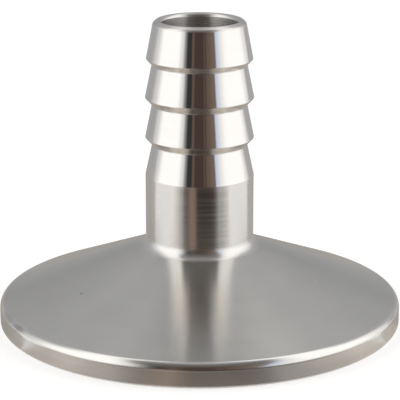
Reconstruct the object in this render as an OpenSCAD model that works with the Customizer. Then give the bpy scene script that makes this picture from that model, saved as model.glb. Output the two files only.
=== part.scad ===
// Hose barb on a sanitary clamp ferrule, turned from one bar of stainless steel.
// Millimetres. +Z runs up the bore, and z = 0 is the sealing face that a gasket presses on.

/* [Ferrule] */
// Outside diameter of the clamp ferrule
flange_d = 50.5; // [34:0.5:91]
// Height of the rim, from the sealing face to the foot of the bevel
rim_h = 2.9; // [2:0.1:6]
// Slope of the clamping bevel, in degrees up from the sealing face
bevel_angle = 21.3; // [12:0.1:30]
// Radius of the rim's upper edge, where the bevel starts
rim_top_r = 1.1; // [0.2:0.05:1.5]
// Radius of the rim's lower edge
rim_foot_r = 0.5; // [0.1:0.05:1]

/* [Gasket groove] */
// Distance from the rim to the groove's centre line
groove_inset = 3.5; // [2.8:0.1:6]
// Width of the groove at the sealing face
groove_w = 3.4; // [2:0.1:4]
// Width of the groove's floor, before its corners are rounded
groove_floor_w = 1.2; // [0.4:0.1:1.8]
// Depth of the groove
groove_depth = 1.6; // [0.6:0.1:2]
// Radius of the corners of the groove's floor
groove_floor_r = 1; // [0.2:0.1:1.5]
// Radius of the groove's edges at the sealing face
groove_edge_r = 0.3; // [0.1:0.05:0.6]

/* [Neck] */
// Whole height of the fitting, from the sealing face to the mouth
height = 38.3; // [32:0.1:80]
// Diameter of the plain neck
neck_d = 13.5; // [12.6:0.1:16]
// Radius between the bevel and the neck
shoulder_r = 1.5; // [0.3:0.1:3]

/* [Barbs] */
// Number of barbs that have a sharp crest
barb_count = 3; // [1:1:4]
// Distance from one barb to the next
barb_pitch = 5; // [3:0.1:6]
// Height of the lowest taper, from the last undercut down to the plain neck
lowest_taper_h = 3.9; // [2:0.1:6]
// Diameter over the crests
crest_d = 13.5; // [12.6:0.1:16]
// Diameter over the crest of the barb next to the mouth
first_crest_d = 13.2; // [12.5:0.1:15.5]
// Diameter at the bottom of the undercuts
valley_d = 11.8; // [11.6:0.1:12.2]
// Slope of the undercut faces, in degrees from the sealing face
undercut_angle = 46; // [20:1:60]
// Radius left on the crests
crest_edge_r = 0.12; // [0.04:0.01:0.3]
// Radius at the bottom of the undercuts
valley_fillet_r = 0.2; // [0.04:0.01:0.4]

/* [Mouth] */
// Outside diameter at the mouth, below its bevel
mouth_d = 11.5; // [11.4:0.1:12]
// Width of the bevel outside the mouth
mouth_bevel_w = 0.45; // [0.1:0.05:0.5]
// Height of the bevel outside the mouth
mouth_bevel_h = 0.35; // [0.1:0.05:1]
// Radius where the bevel starts
mouth_bevel_r = 0.5; // [0.1:0.05:1.5]
// Radius of the upper edge of that bevel
mouth_edge_r = 0.2; // [0.02:0.02:0.3]
// Radius of the mouth's inner edge
mouth_inner_r = 0.5; // [0.1:0.05:0.6]
// Distance from the mouth down to the bottom of the first undercut
first_valley_drop = 5.5; // [3.5:0.1:8]

/* [Bore] */
// Diameter of the bore
bore_d = 9.4; // [6:0.1:9.5]
// Chamfer where the bore meets the sealing face
bore_chamfer = 0.3; // [0.1:0.05:1]

/* [Hidden] */
$fn = 180;
// Straight pieces in the arc of each rounded corner
arc_steps = 8;
// Greatest share of a side that the arcs at its two ends may take together
arc_share = 0.96;

flange_r = flange_d / 2;
neck_r = neck_d / 2;
valley_r = valley_d / 2;
mouth_r = mouth_d / 2;
bore_r = bore_d / 2;
groove_r = flange_r - groove_inset;

// Height at which the line of the bevel meets the line of the neck
shoulder_z = rim_h + (flange_r - neck_r) * tan(bevel_angle);

// Height of the bottom of undercut i, counted down from the mouth
function valley_z(i) = height - first_valley_drop - i * barb_pitch;

// The first crest is a little smaller than the others
function crest_r(i) = (i == 0 ? first_crest_d : crest_d) / 2;

// A crest stands above the bottom of its undercut by what the undercut's slope gives
function crest_z(i) = valley_z(i) + (crest_r(i) - valley_r) * tan(undercut_angle);

// Height at which the plain neck ends and the lowest taper starts
neck_top_z = valley_z(barb_count - 1) - lowest_taper_h;

// Each corner is [radius, height, rounding]. The corners run from the bore out along the
// sealing face, up the outside to the mouth and back down the bore.
groove_corners = [
    [groove_r - groove_w / 2, 0, groove_edge_r],
    [groove_r - groove_floor_w / 2, groove_depth, groove_floor_r],
    [groove_r + groove_floor_w / 2, groove_depth, groove_floor_r],
    [groove_r + groove_w / 2, 0, groove_edge_r]
];
ferrule_corners = [
    [flange_r, 0, rim_foot_r],
    [flange_r, rim_h, rim_top_r],
    [neck_r, shoulder_z, shoulder_r],
    [neck_r, neck_top_z, valley_fillet_r]
];
barb_corners = [
    for (i = [barb_count - 1 : -1 : 0])
        each [
            [valley_r, valley_z(i), valley_fillet_r],
            [crest_r(i), crest_z(i), crest_edge_r]
        ]
];
mouth_corners = [
    [mouth_r, height - mouth_bevel_h, mouth_bevel_r],
    [mouth_r - mouth_bevel_w, height, mouth_edge_r],
    [bore_r, height, mouth_inner_r]
];
foot_corners = [
    [bore_r, bore_chamfer, 0],
    [bore_r + bore_chamfer, 0, 0]
];
corners = concat(
    groove_corners, ferrule_corners, barb_corners, mouth_corners, foot_corners
);

// Place of corner i in the section, counted round and round
function place(i) =
    let (corner = corners[(i + len(corners)) % len(corners)])
    [corner[0], corner[1]];

function unit(v) = v / norm(v);

// Half the angle between the two sides that meet in corner i
function half_angle(i) = acos(unit(place(i - 1) - place(i)) * unit(place(i + 1) - place(i))) / 2;

// How far from corner i its arc would start if the sides were long enough
function wanted(i) = corners[(i + len(corners)) % len(corners)][2] / tan(half_angle(i));

// The part of what they want that the arcs at both ends of side i to i + 1 may have
function granted(i) =
    min(1, arc_share * norm(place(i + 1) - place(i)) / max(wanted(i) + wanted(i + 1), 0.001));

// Points of the arc that rounds corner i
function rounded(i) =
    let (
        here = place(i),
        to_last = unit(place(i - 1) - here),
        to_next = unit(place(i + 1) - here),
        half = half_angle(i),
        reach = wanted(i) * min(granted(i - 1), granted(i)),
        arc_r = reach * tan(half),
        centre = here + unit(to_last + to_next) * arc_r / sin(half),
        first = here + to_last * reach - centre,
        last = here + to_next * reach - centre,
        turn = 180 - 2 * half
    )
    [
        for (k = [0 : arc_steps])
            let (angle = turn * k / arc_steps)
            centre + (first * sin(turn - angle) + last * sin(angle)) / sin(turn)
    ];

// The closed half section, with each corner that has a rounding replaced by its arc
section = [
    for (i = [0 : len(corners) - 1])
        each (corners[i][2] > 0 ? rounded(i) : [place(i)])
];

// The fitting is one turned piece: ferrule, neck and barbs around one bore
module hose_barb() {
    color([0.72, 0.71, 0.69])
    rotate_extrude()
    polygon(section);
}

hose_barb();
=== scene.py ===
"""Looks of the hose barb on a clamp ferrule: turned, brushed and polished stainless steel."""

import math

import bpy
import numpy as np
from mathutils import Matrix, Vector


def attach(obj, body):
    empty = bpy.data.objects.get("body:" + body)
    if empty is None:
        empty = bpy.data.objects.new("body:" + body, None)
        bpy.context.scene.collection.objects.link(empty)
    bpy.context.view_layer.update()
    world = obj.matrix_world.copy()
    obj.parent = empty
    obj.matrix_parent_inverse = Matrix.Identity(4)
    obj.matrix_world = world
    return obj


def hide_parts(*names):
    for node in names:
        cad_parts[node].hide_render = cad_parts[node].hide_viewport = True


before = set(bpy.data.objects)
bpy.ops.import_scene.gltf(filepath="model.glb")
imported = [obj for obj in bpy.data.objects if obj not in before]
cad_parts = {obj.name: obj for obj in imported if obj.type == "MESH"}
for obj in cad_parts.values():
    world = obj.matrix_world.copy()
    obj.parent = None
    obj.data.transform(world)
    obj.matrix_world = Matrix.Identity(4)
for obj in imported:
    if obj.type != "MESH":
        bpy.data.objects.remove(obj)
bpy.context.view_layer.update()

NODE = "hose_barb"
MM = 0.001

# Sizes of the fitting in millimetres, as in the CAD part
FLANGE_R = 25.25
RIM_H = 2.9
BEVEL_ANGLE = math.radians(21.3)
RIM_TOP_R = 1.1
RIM_FOOT_R = 0.5
GROOVE_INSET = 3.5
GROOVE_W = 3.4
GROOVE_FLOOR_W = 1.2
GROOVE_DEPTH = 1.6
GROOVE_FLOOR_R = 1.0
GROOVE_EDGE_R = 0.3
HEIGHT = 38.3
NECK_R = 6.75
SHOULDER_R = 1.5
BARB_COUNT = 3
BARB_PITCH = 5.0
LOWEST_TAPER_H = 3.9
CREST_R = 6.75
FIRST_CREST_R = 6.6
VALLEY_R = 5.9
UNDERCUT_ANGLE = math.radians(46)
CREST_EDGE_R = 0.12
VALLEY_FILLET_R = 0.2
MOUTH_R = 5.75
MOUTH_BEVEL_W = 0.45
MOUTH_BEVEL_H = 0.35
MOUTH_BEVEL_R = 0.5
MOUTH_EDGE_R = 0.2
MOUTH_INNER_R = 0.5
FIRST_VALLEY_DROP = 5.5
BORE_R = 4.7
BORE_CHAMFER = 0.3
# The two corners of the bore's chamfer are sharp in the part, and only just broken here
BROKEN_EDGE_R = 0.03

# How finely the section is turned into a mesh
SEGMENTS = 256
ARC_STEP = math.radians(7)
LONGEST_PIECE = 0.7
ARC_SHARE = 0.96

# Camera of the photograph: place and tilt, and focal length on a 36 mm sensor
CAMERA_PLACE = (0.05 * MM, -221.6 * MM, 78.14 * MM)
CAMERA_TILT = math.radians(15.8)
CAMERA_LENS = 165.35


def make_camera():
    data = bpy.data.cameras.new("camera")
    data.lens = CAMERA_LENS
    data.sensor_width = 36
    data.clip_start = 0.01
    camera = bpy.data.objects.new("camera", data)
    camera.location = CAMERA_PLACE
    camera.rotation_euler = (math.pi / 2 - CAMERA_TILT, 0, 0)
    bpy.context.scene.collection.objects.link(camera)
    bpy.context.scene.camera = camera


def crest_r(i):
    return FIRST_CREST_R if i == 0 else CREST_R


def valley_z(i):
    return HEIGHT - FIRST_VALLEY_DROP - i * BARB_PITCH


def crest_z(i):
    return valley_z(i) + (crest_r(i) - VALLEY_R) * math.tan(UNDERCUT_ANGLE)


def corners():
    """Corners of the half section: radius, height, rounding, and the finish of arc and next side."""
    groove_r = FLANGE_R - GROOVE_INSET
    shoulder_z = RIM_H + (FLANGE_R - NECK_R) * math.tan(BEVEL_ANGLE)
    neck_top_z = valley_z(BARB_COUNT - 1) - LOWEST_TAPER_H
    foot = [
        (BORE_R + BORE_CHAMFER, 0, BROKEN_EDGE_R, "faced", "faced"),
        (groove_r - GROOVE_W / 2, 0, GROOVE_EDGE_R, "faced", "faced"),
        (groove_r - GROOVE_FLOOR_W / 2, GROOVE_DEPTH, GROOVE_FLOOR_R, "faced", "faced"),
        (groove_r + GROOVE_FLOOR_W / 2, GROOVE_DEPTH, GROOVE_FLOOR_R, "faced", "faced"),
        (groove_r + GROOVE_W / 2, 0, GROOVE_EDGE_R, "faced", "faced"),
    ]
    ferrule = [
        (FLANGE_R, 0, RIM_FOOT_R, "rim", "rim"),
        (FLANGE_R, RIM_H, RIM_TOP_R, "edge", "bevel"),
        (NECK_R, shoulder_z, SHOULDER_R, "shoulder", "neck"),
        (NECK_R, neck_top_z, VALLEY_FILLET_R, "polished", "polished"),
    ]
    barbs = []
    for i in reversed(range(BARB_COUNT)):
        barbs.append((VALLEY_R, valley_z(i), VALLEY_FILLET_R, "edge", "undercut"))
        barbs.append((crest_r(i), crest_z(i), CREST_EDGE_R, "edge", "polished"))
    mouth = [
        (MOUTH_R, HEIGHT - MOUTH_BEVEL_H, MOUTH_BEVEL_R, "mouth", "mouth"),
        (MOUTH_R - MOUTH_BEVEL_W, HEIGHT, MOUTH_EDGE_R, "mouth", "mouth"),
        (BORE_R, HEIGHT, MOUTH_INNER_R, "mouth", "bore"),
        (BORE_R, BORE_CHAMFER, BROKEN_EDGE_R, "bore", "bore"),
    ]
    return foot + ferrule + barbs + mouth


def arcs():
    """For each corner, the points and outward normals along the arc that rounds it."""
    listed = corners()
    count = len(listed)
    places = [Vector((r, z)) for r, z, _, _, _ in listed]
    to_last = [(places[i - 1] - places[i]).normalized() for i in range(count)]
    to_next = [(places[(i + 1) % count] - places[i]).normalized() for i in range(count)]
    half = [to_last[i].angle(to_next[i]) / 2 for i in range(count)]
    wanted = [listed[i][2] / math.tan(half[i]) for i in range(count)]
    # The part of what they want that the arcs at both ends of a side may have
    granted = []
    for i in range(count):
        j = (i + 1) % count
        room = ARC_SHARE * (places[j] - places[i]).length
        granted.append(min(1.0, room / (wanted[i] + wanted[j])))
    made = []
    for i in range(count):
        reach = wanted[i] * min(granted[i - 1], granted[i])
        radius = reach * math.tan(half[i])
        centre = places[i] + (to_last[i] + to_next[i]).normalized() * radius / math.sin(half[i])
        first = places[i] + to_last[i] * reach - centre
        last = places[i] + to_next[i] * reach - centre
        turn = math.pi - 2 * half[i]
        # The corner is convex where the section, which runs anticlockwise, turns left
        side = -1 if to_last[i].cross(to_next[i]) > 0 else 1
        steps = max(2, math.ceil(turn / ARC_STEP))
        arc = []
        for k in range(steps + 1):
            angle = turn * k / steps
            spoke = (first * math.sin(turn - angle) + last * math.sin(angle)) / math.sin(turn)
            arc.append((centre + spoke, spoke.normalized() * side))
        made.append(arc)
    return made


def section():
    """The closed half section: points, normals and the finish of the stretch after each point."""
    listed = corners()
    made = arcs()
    points, normals, finishes = [], [], []
    for i, arc in enumerate(made):
        arc_finish, finish = listed[i][3:]
        for k, (point, normal) in enumerate(arc):
            points.append(point)
            normals.append(normal)
            finishes.append(finish if k == len(arc) - 1 else arc_finish)
        run = made[(i + 1) % len(made)][0][0] - arc[-1][0]
        pieces = max(1, math.ceil(run.length / LONGEST_PIECE))
        for k in range(1, pieces):
            points.append(arc[-1][0] + run * k / pieces)
            normals.append(arc[-1][1])
            finishes.append(finish)
    return points, normals, finishes


def turned_piece(name, materials):
    """Revolves the section into one smooth mesh, with a material for each finish."""
    points, normals, finishes = section()
    rings = len(points)
    verts, vert_normals = [], []
    for k in range(SEGMENTS):
        angle = 2 * math.pi * k / SEGMENTS
        c, s = math.cos(angle), math.sin(angle)
        for point, normal in zip(points, normals):
            verts.append((point.x * c * MM, point.x * s * MM, point.y * MM))
            vert_normals.append((normal.x * c, normal.x * s, normal.y))
    faces, face_finishes = [], []
    for k in range(SEGMENTS):
        here, there = k * rings, (k + 1) % SEGMENTS * rings
        for i in range(rings):
            j = (i + 1) % rings
            faces.append((here + i, there + i, there + j, here + j))
            face_finishes.append(finishes[i])
    mesh = bpy.data.meshes.new(name)
    mesh.from_pydata(verts, [], faces)
    slots = list(materials)
    for finish in slots:
        mesh.materials.append(materials[finish])
    mesh.polygons.foreach_set("material_index", [slots.index(f) for f in face_finishes])
    mesh.polygons.foreach_set("use_smooth", [True] * len(faces))
    mesh.normals_split_custom_set_from_vertices(vert_normals)
    mesh.update()
    piece = bpy.data.objects.new(name, mesh)
    bpy.context.scene.collection.objects.link(piece)
    return piece


def node(tree, kind, **settings):
    made = tree.nodes.new("ShaderNode" + kind)
    for key, value in settings.items():
        setattr(made, key, value)
    return made


def math_node(tree, operation, first, second=None):
    made = node(tree, "Math", operation=operation)
    for socket, value in zip(made.inputs, (first, second)):
        if value is None:
            continue
        if isinstance(value, (int, float)):
            socket.default_value = value
        else:
            tree.links.new(value, socket)
    return made.outputs[0]


def turning_coordinates(tree, around, across):
    """Object coordinates stretched so that noise runs in lines round the axis.

    around and across are the noise's changes per metre along a line and across the lines."""
    coordinates = node(tree, "TexCoord")
    split = node(tree, "SeparateXYZ")
    tree.links.new(coordinates.outputs["Object"], split.inputs[0])
    x, y, z = split.outputs
    squares = math_node(tree, "ADD", math_node(tree, "MULTIPLY", x, x), math_node(tree, "MULTIPLY", y, y))
    radius = math_node(tree, "SQRT", squares)
    along_section = math_node(tree, "ADD", radius, z)
    joined = node(tree, "CombineXYZ")
    tree.links.new(math_node(tree, "MULTIPLY", x, around), joined.inputs[0])
    tree.links.new(math_node(tree, "MULTIPLY", y, around), joined.inputs[1])
    tree.links.new(math_node(tree, "MULTIPLY", along_section, across), joined.inputs[2])
    return joined.outputs[0]


def noise(tree, coordinates, scale=1.0, detail=2.0):
    made = node(tree, "TexNoise")
    made.inputs["Scale"].default_value = scale
    made.inputs["Detail"].default_value = detail
    tree.links.new(coordinates, made.inputs["Vector"])
    return made.outputs[0]


# Where nearly all of a noise's values lie
NOISE_LOW, NOISE_HIGH = 0.3, 0.7


def spread(tree, value, low, high):
    """Maps a noise, which stays near its middle, to the range from low to high."""
    made = node(tree, "MapRange")
    made.inputs["From Min"].default_value = NOISE_LOW
    made.inputs["From Max"].default_value = NOISE_HIGH
    made.inputs["To Min"].default_value = low
    made.inputs["To Max"].default_value = high
    tree.links.new(value, made.inputs["Value"])
    return made.outputs[0]


# Marks of wear: azimuth in degrees from the camera's side, radius and height of the place in mm,
# half length along the turning lines and half width in mm, and the share of the light lost there
MARKS = {
    "rim smudge": (-61.0, 25.15, 2.8, 2.3, 0.62, 0.38),
    "smudge's tail": (-70.0, 25.0, 2.85, 3.6, 0.60, 0.20),
    "rim scratch": (70.5, 25.2, 2.65, 3.4, 0.34, 0.24),
    "dark speck": (-58.0, 16.99, 6.12, 0.30, 0.26, 0.35),
    "light speck": (67.1, 15.54, 6.69, 0.34, 0.28, -0.16),
    "barb scratch": (37.1, 6.4, 27.62, 0.40, 0.14, 0.40),
}
RIM_MARKS = ("rim smudge", "smudge's tail", "rim scratch")
BEVEL_MARKS = RIM_MARKS + ("dark speck", "light speck")
BARB_MARKS = ("barb scratch",)
# The share of a mark's size in which it is at its darkest
MARK_CORE = 0.2


def worn(tree, coordinates, marks):
    """Share of the light that is left: 1 on clean metal, less in the marks."""
    left = None
    for name in marks:
        azimuth, radius, height, half_length, half_width, lost = MARKS[name]
        a = math.radians(azimuth)
        place = node(tree, "Mapping", vector_type="TEXTURE")
        place.inputs["Location"].default_value = (
            radius * math.sin(a) * MM, -radius * math.cos(a) * MM, height * MM
        )
        place.inputs["Rotation"].default_value = (0, 0, a)
        place.inputs["Scale"].default_value = (half_length * MM, half_width * MM, half_width * MM)
        tree.links.new(coordinates, place.inputs["Vector"])
        distance = node(tree, "VectorMath", operation="LENGTH")
        tree.links.new(place.outputs[0], distance.inputs[0])
        share = node(tree, "MapRange", interpolation_type="SMOOTHSTEP")
        share.inputs["From Min"].default_value = MARK_CORE
        share.inputs["From Max"].default_value = 1.0
        share.inputs["To Min"].default_value = 1 - lost
        share.inputs["To Max"].default_value = 1.0
        tree.links.new(distance.outputs["Value"], share.inputs["Value"])
        here = share.outputs[0]
        left = here if left is None else math_node(tree, "MULTIPLY", left, here)
    return left


# The turning lines are two noises: changes per metre along a fine and a coarse line, how many times
# wider the coarse ones are, and the share of each in the sum
FINE_AROUND, COARSE_AROUND = 60, 40
COARSE_WIDTH = 7
FINE_SHARE, COARSE_SHARE = 0.6, 0.4
# The clouds' changes per metre and their detail
CLOUD_SCALE, CLOUD_DETAIL = 180, 4
# A quarter turn, which lays the long side of the highlights across the turning lines
ACROSS_LINES = 0.25


def steel(name, colour, roughness, anisotropy, lines_per_mm, line_depth, mottle, lining, marks=()):
    """Stainless steel with turning lines. roughness is (least, most), line_depth in micrometres.

    mottle and lining are the share of the light lost in clouds and in the lines."""
    material = bpy.data.materials.new(name)
    material.use_nodes = True
    tree = material.node_tree
    shader = tree.nodes["Principled BSDF"]
    shader.inputs["Metallic"].default_value = 1.0
    shader.inputs["Anisotropic"].default_value = anisotropy
    shader.inputs["Anisotropic Rotation"].default_value = ACROSS_LINES

    across = lines_per_mm / MM
    fine = noise(tree, turning_coordinates(tree, FINE_AROUND, across))
    coarse = noise(tree, turning_coordinates(tree, COARSE_AROUND, across / COARSE_WIDTH))
    fine = math_node(tree, "MULTIPLY", fine, FINE_SHARE)
    coarse = math_node(tree, "MULTIPLY", coarse, COARSE_SHARE)
    lines = math_node(tree, "ADD", fine, coarse)
    bump = node(tree, "Bump")
    bump.inputs["Distance"].default_value = line_depth * MM * MM
    tree.links.new(lines, bump.inputs["Height"])
    tree.links.new(bump.outputs[0], shader.inputs["Normal"])

    tree.links.new(spread(tree, lines, *roughness), shader.inputs["Roughness"])

    tangent = node(tree, "Tangent", direction_type="RADIAL", axis="Z")
    tree.links.new(tangent.outputs[0], shader.inputs["Tangent"])

    coordinates = node(tree, "TexCoord").outputs["Object"]
    cloud = spread(tree, noise(tree, coordinates, CLOUD_SCALE, CLOUD_DETAIL), 1 - mottle, 1)
    cloud = math_node(tree, "MULTIPLY", cloud, spread(tree, lines, 1 - lining, 1))
    if marks:
        cloud = math_node(tree, "MULTIPLY", cloud, worn(tree, coordinates, marks))
    tint = node(tree, "Mix", data_type="RGBA", blend_type="MULTIPLY")
    tint.inputs["Factor"].default_value = 1.0
    tint.inputs["A"].default_value = (*colour, 1)
    tree.links.new(cloud, tint.inputs["B"])
    tree.links.new(tint.outputs["Result"], shader.inputs["Base Color"])
    return material


# The finishes, in the order of the values that steel() takes after the name
FINISHES = {
    # Sealing face and gasket groove, faced on the lathe
    "faced": ((0.70, 0.69, 0.67), (0.22, 0.32), 0.5, 6, 1.2, 0.05, 0.05),
    # Wall of the rim, the dullest surface, with broad soft lines
    "rim": ((0.69, 0.66, 0.63), (0.30, 0.38), 0.8, 3, 0.8, 0.08, 0.04, RIM_MARKS),
    # Rounded edges, which are rubbed bright
    "edge": ((0.72, 0.71, 0.69), (0.16, 0.22), 0.3, 5, 0.2, 0.03, 0.0, RIM_MARKS),
    # Clamping bevel, satin, and drawn out strongly across its lines
    "bevel": ((0.71, 0.705, 0.675), (0.155, 0.175), 0.95, 1.4, 0.2, 0.05, 0.015, BEVEL_MARKS),
    # Fillet between the bevel and the neck
    "shoulder": ((0.72, 0.71, 0.69), (0.25, 0.30), 0.8, 4, 0.3, 0.03, 0.0),
    # Plain neck, with turning lines that show
    "neck": ((0.72, 0.70, 0.68), (0.14, 0.28), 0.85, 3.2, 1.2, 0.04, 0.04),
    # Tapers of the barbs, polished
    "polished": ((0.72, 0.705, 0.69), (0.06, 0.09), 0.2, 6, 0.15, 0.02, 0.03, BARB_MARKS),
    # Undercut faces of the barbs, a little warmer
    "undercut": ((0.78, 0.72, 0.66), (0.20, 0.28), 0.3, 8, 0.4, 0.05, 0.05),
    # Lip of the mouth
    "mouth": ((0.70, 0.69, 0.67), (0.28, 0.33), 0.3, 8, 0.3, 0.03, 0.03),
    # Inside of the bore, drilled and reamed
    "bore": ((0.66, 0.64, 0.62), (0.26, 0.30), 1.0, 3, 0.6, 0.05, 0.08),
}


def finishes():
    return {name: steel("steel_" + name, *values) for name, values in FINISHES.items()}


# The studio, given as seen from the fitting: azimuth 0 is towards the camera and grows to the right.
# A band runs from one azimuth to the next, with its light at both ends.
# The dome stands on the round floor, both of this radius in metres.
TENT_RADIUS = 1.0
TENT_COLUMNS, TENT_ROWS = 360, 45
FLOOR_SIDES = 180
BACK = np.array((0.46, 0.46, 0.47))
WHITE = np.array((1.45, 1.43, 1.40))
BLUISH = np.array((0.80, 0.89, 1.06))
BLACK = np.array((0.045, 0.045, 0.045))
BROWN = np.array((0.082, 0.056, 0.047))
TAN = np.array((0.23, 0.17, 0.135))
LINE = np.array((0.17, 0.12, 0.095))
BANDS = (
    (-180, BACK),
    (-138, BACK * 1.03),
    (-122, BACK * 1.15),
    (-104, WHITE * 0.60),
    (-84, WHITE),
    (-70, WHITE),
    (-48, WHITE),
    (-38, WHITE * 0.72),
    (-30, WHITE * 0.20),
    (-26, BLACK),
    (-17, BLACK),
    (-16, LINE),
    (-13, LINE),
    (-10, BROWN),
    (8, BROWN),
    (10, LINE),
    (12, BROWN),
    (15, TAN * 0.7),
    (30, TAN),
    (32, TAN),
    (35, BLUISH * 0.9),
    (38, BLUISH),
    (47, WHITE * 0.80),
    (56, WHITE * 0.95),
    (65, WHITE),
    (98, WHITE),
    (122, WHITE * 0.72),
    (136, BACK * 1.15),
    (152, BACK * 1.06),
    (180, BACK),
)
# What the cards on the floor show, given in the same way: farther out, and close to the fitting
CREAM = np.array((1.0, 0.96, 0.91))
WARM = np.array((1.0, 0.93, 0.86))
COPPER = np.array((0.265, 0.197, 0.157))
UMBER = np.array((0.100, 0.077, 0.065))
CARD_OUTER = (
    (-180, WARM * 0.42),
    (-130, CREAM * 0.50),
    (-110, CREAM * 0.58),
    (-90, CREAM * 0.96),
    (-73, CREAM * 1.28),
    (-57, CREAM * 1.08),
    (-48, CREAM * 0.77),
    (-38, CREAM * 0.43),
    (-31, UMBER * 1.6),
    (-25, UMBER * 1.7),
    (-18, COPPER * 1.2),
    (-12, COPPER * 1.1),
    (-3, UMBER * 0.5),
    (8, UMBER * 0.35),
    (27, UMBER * 0.3),
    (31, UMBER * 0.7),
    (35, UMBER * 1.3),
    (41, CREAM * 0.40),
    (48, CREAM * 0.42),
    (56, CREAM * 0.62),
    (70, CREAM * 1.15),
    (87, CREAM * 1.50),
    (106, CREAM * 1.04),
    (130, CREAM * 0.56),
    (180, WARM * 0.42),
)
CARD_INNER = (
    (-180, WARM * 0.42),
    (-132, WARM * 0.43),
    (-124, WARM * 0.53),
    (-105, WARM * 0.55),
    (-75, WARM * 0.60),
    (-55, WARM * 0.43),
    (-36, WARM * 0.30),
    (-29, WARM * 0.29),
    (-24, COPPER * 0.80 + WARM * 0.17),
    (-16, COPPER * 0.90 + WARM * 0.20),
    (-10, COPPER * 0.75 + WARM * 0.16),
    (-3, WARM * 0.26),
    (10, WARM * 0.26),
    (24, WARM * 0.23),
    (36, WARM * 0.24),
    (43, WARM * 0.34),
    (55, CREAM * 0.31),
    (76, WARM * 0.47),
    (100, WARM * 0.70),
    (138, WARM * 0.64),
    (148, WARM * 0.45),
    (180, WARM * 0.42),
)
# The dark card in front and the grey one behind: the azimuths of their two sides at these radii in
# mm. The grey one comes forward beside the rim.
CARD_SIDE_RADII = (26, 33, 45)
CARDS = {
    "front_card": ((-60, -60, -60), (66, 66, 66)),
    "back_card": ((66, 80, 116), (300, 282, 256)),
}
# Where the cards start and end, and how high they lie, in mm
CARD_FROM, CARD_TO, CARD_Z = 25.35, 990.0, 0.05
CARD_COLUMNS, CARD_ROWS = 127, 40
# How their light passes, with the radius, from the inner list (0) to the outer one (1) and on to the
# bands (2)
CARD_RADII = (33, 44, 90, 300)
CARD_SHARES = (0, 1, 1, 2)
# A ray leaves the metal off the axis, so it meets the card at a smaller azimuth than its own. These
# make up for that: for the inner list at each of those radii, and for the outer one and the bands
INNER_TURNS = (1.75, 1.06, 1.04, 1.0)
OUTER_TURN = 1.04
# The grey ceiling above the boxes and above the dark front
BOX_TOP, BOX_END = 74, 88
FRONT_TOP, FRONT_END = 60, 82
# Half the width of the dark front, and how softly it ends
FRONT_HALF_WIDTH, FRONT_SOFTNESS = 33, 8
# The dark front gets lighter with height
FRONT_HIGH = np.array((0.17, 0.165, 0.155))
LIGHTER_FROM, LIGHTER_TO = 28, 55
# Where the dark front ends on the left and right, and where the boxes end towards the back,
# as azimuths at these elevations
EDGE_ELEVATIONS = (5, 30, 46, 58, 72, 90)
LEFT_EDGE = (33, 35, 45, 52, 90, 150)
RIGHT_EDGE = (33, 41, 50, 57, 96, 150)
BACK_EDGE = (138, 132, 120, 147, 158, 176)
# Azimuths in the bands: the end of the dark front, two in the box, and the end of the box
BAND_MARKS = (0, 33, 58, 98, 138, 180)
# The back wall is lightest at middle height: shares of its light by elevation
BACK_ELEVATIONS = (0, 13, 43, 58, 66, 90)
BACK_SHARES = (0.85, 0.82, 1.05, 0.84, 0.76, 0.86)
BACK_FROM, BACK_TO = 140, 158


def smooth_step(x, low, high):
    t = min(1.0, max(0.0, (x - low) / (high - low)))
    return t * t * (3 - 2 * t)


def light_of(bands, azimuth):
    for (start, first), (end, last) in zip(bands, bands[1:]):
        if azimuth <= end:
            break
    return first + (last - first) * smooth_step(azimuth, start, end)


def band_azimuth(azimuth, elevation):
    """The azimuth at which the bands have the light of this direction.

    The dark front widens with height, and the boxes end at other azimuths behind."""
    edge = np.interp(elevation, EDGE_ELEVATIONS, LEFT_EDGE if azimuth < 0 else RIGHT_EDGE)
    back = np.interp(elevation, EDGE_ELEVATIONS, BACK_EDGE)
    here = (0, edge, edge + (back - edge) / 4, back - (back - edge) / 3, back, 180)
    there = BAND_MARKS
    return math.copysign(np.interp(abs(azimuth), here, there), azimuth)


def tent_light(azimuth, elevation):
    """Light of the dome in one direction, in degrees: white at both sides, dark in front, grey behind."""
    azimuth = band_azimuth(azimuth, elevation)
    light = light_of(BANDS, azimuth)
    aside = smooth_step(abs(azimuth), FRONT_HALF_WIDTH, FRONT_HALF_WIDTH + FRONT_SOFTNESS)
    behind = smooth_step(abs(azimuth), BACK_FROM, BACK_TO)
    light = light * (1 + (np.interp(elevation, BACK_ELEVATIONS, BACK_SHARES) - 1) * behind)
    lighter = smooth_step(elevation, LIGHTER_FROM, LIGHTER_TO) * (1 - aside)
    light = light * (1 - lighter) + FRONT_HIGH * lighter
    ceiling = smooth_step(elevation, BOX_TOP, BOX_END) * aside
    ceiling += smooth_step(elevation, FRONT_TOP, FRONT_END) * (1 - aside)
    return light * (1 - ceiling) + BACK * ceiling


def card_light(azimuth, radius):
    """Light of a card at one place on the floor, azimuth in degrees and radius in mm."""
    spread_out = np.interp(radius, CARD_RADII, CARD_SHARES)
    turned = azimuth * np.interp(radius, CARD_RADII, INNER_TURNS)
    light = light_of(CARD_INNER, max(-180, min(180, turned)))
    for start, bands in enumerate((CARD_OUTER, BANDS)):
        share = min(1.0, max(0.0, spread_out - start))
        light = light * (1 - share) + light_of(bands, azimuth * OUTER_TURN) * share
    return light


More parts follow.
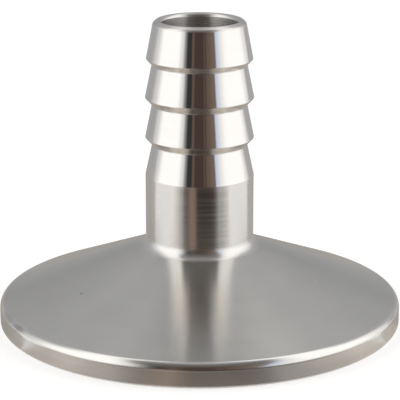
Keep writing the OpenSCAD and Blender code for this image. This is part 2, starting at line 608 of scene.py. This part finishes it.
def make_card(name, left, right):
    """A card that lies on the floor between its two sides. It shows only in the metal.

    Where no card lies, the metal shows the floor."""
    radii = [CARD_FROM * (CARD_TO / CARD_FROM) ** (k / CARD_ROWS) for k in range(CARD_ROWS + 1)]
    verts, lights, faces = [], [], []
    for radius in radii:
        sides = [np.interp(radius, CARD_SIDE_RADII, side) for side in (left, right)]
        for azimuth in np.linspace(*sides, CARD_COLUMNS):
            a = math.radians(azimuth)
            verts.append((radius * math.sin(a) * MM, -radius * math.cos(a) * MM, CARD_Z * MM))
            lights.append(card_light(azimuth if azimuth < 180 else azimuth - 360, radius))
    for row in range(CARD_ROWS):
        for k in range(CARD_COLUMNS - 1):
            here = row * CARD_COLUMNS + k
            there = here + CARD_COLUMNS
            faces.append((here, here + 1, there + 1, there))
    card = glowing_sheet(name, verts, faces, lights)
    card.visible_diffuse = False
    card.visible_shadow = False


def glowing_sheet(name, verts, faces, lights):
    """A sheet of studio light that the camera doesn't see."""
    mesh = bpy.data.meshes.new(name)
    mesh.from_pydata(verts, [], faces)
    attribute = mesh.color_attributes.new("light", "FLOAT_COLOR", "POINT")
    attribute.data.foreach_set("color", [x for light in lights for x in (*light, 1)])
    material = bpy.data.materials.new(name)
    material.use_nodes = True
    tree = material.node_tree
    tree.nodes.clear()
    source = node(tree, "Attribute", attribute_name="light")
    emission = node(tree, "Emission")
    output = node(tree, "OutputMaterial")
    tree.links.new(source.outputs["Color"], emission.inputs["Color"])
    tree.links.new(emission.outputs[0], output.inputs["Surface"])
    mesh.materials.append(material)
    sheet = bpy.data.objects.new(name, mesh)
    sheet.visible_camera = False
    bpy.context.scene.collection.objects.link(sheet)
    return sheet


def make_tent():
    verts, lights, faces = [], [], []
    for row in range(TENT_ROWS + 1):
        elevation = 90 * row / TENT_ROWS
        e = math.radians(elevation)
        for column in range(TENT_COLUMNS):
            azimuth = -180 + 360 * column / TENT_COLUMNS
            a = math.radians(azimuth)
            out = TENT_RADIUS * math.cos(e)
            verts.append((out * math.sin(a), -out * math.cos(a), TENT_RADIUS * math.sin(e)))
            lights.append(tent_light(azimuth, elevation))
    for row in range(TENT_ROWS):
        here, there = row * TENT_COLUMNS, (row + 1) * TENT_COLUMNS
        for column in range(TENT_COLUMNS):
            right = (column + 1) % TENT_COLUMNS
            faces.append((here + column, here + right, there + right, there + column))
    glowing_sheet("light_tent", verts, faces, lights)


# The floor's own colour, and the light that it adds where it is seen, so that it comes out white
FLOOR_COLOUR = (0.62, 0.62, 0.61)
FLOOR_GLOW = 0.62
FLOOR_ROUGHNESS = 0.9


def make_floor():
    mesh = bpy.data.meshes.new("floor")
    rim = [2 * math.pi * k / FLOOR_SIDES for k in range(FLOOR_SIDES)]
    verts = [(TENT_RADIUS * math.cos(a), TENT_RADIUS * math.sin(a), 0) for a in rim]
    mesh.from_pydata(verts, [], [list(range(FLOOR_SIDES))])
    floor = bpy.data.objects.new("floor", mesh)
    bpy.context.scene.collection.objects.link(floor)
    material = bpy.data.materials.new("floor")
    material.use_nodes = True
    tree = material.node_tree
    shader = tree.nodes["Principled BSDF"]
    shader.inputs["Base Color"].default_value = (*FLOOR_COLOUR, 1)
    shader.inputs["Roughness"].default_value = FLOOR_ROUGHNESS
    shader.inputs["Specular IOR Level"].default_value = 0.0
    shader.inputs["Emission Color"].default_value = (1, 1, 1, 1)
    tree.links.new(seen_directly(tree, FLOOR_GLOW), shader.inputs["Emission Strength"])
    mesh.materials.append(material)


def seen_directly(tree, strength):
    """strength where the camera, a reflection or glass sees it, and 0 where it would light something."""
    path = node(tree, "LightPath")
    seen = math_node(tree, "MAXIMUM", path.outputs["Is Camera Ray"], path.outputs["Is Glossy Ray"])
    seen = math_node(tree, "MAXIMUM", seen, path.outputs["Is Transmission Ray"])
    return math_node(tree, "MULTIPLY", seen, strength)


def make_world():
    world = bpy.data.worlds.new("world")
    world.use_nodes = True
    tree = world.node_tree
    background = tree.nodes["Background"]
    background.inputs["Color"].default_value = (1, 1, 1, 1)
    tree.links.new(seen_directly(tree, 1.0), background.inputs["Strength"])
    bpy.context.scene.world = world


make_camera()
piece = turned_piece("turned_hose_barb", finishes())
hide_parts(NODE)
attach(piece, "root")
make_tent()
for name, (left, right) in CARDS.items():
    make_card(name, left, right)
make_floor()
make_world()
bpy.context.scene.view_settings.view_transform = "Standard"
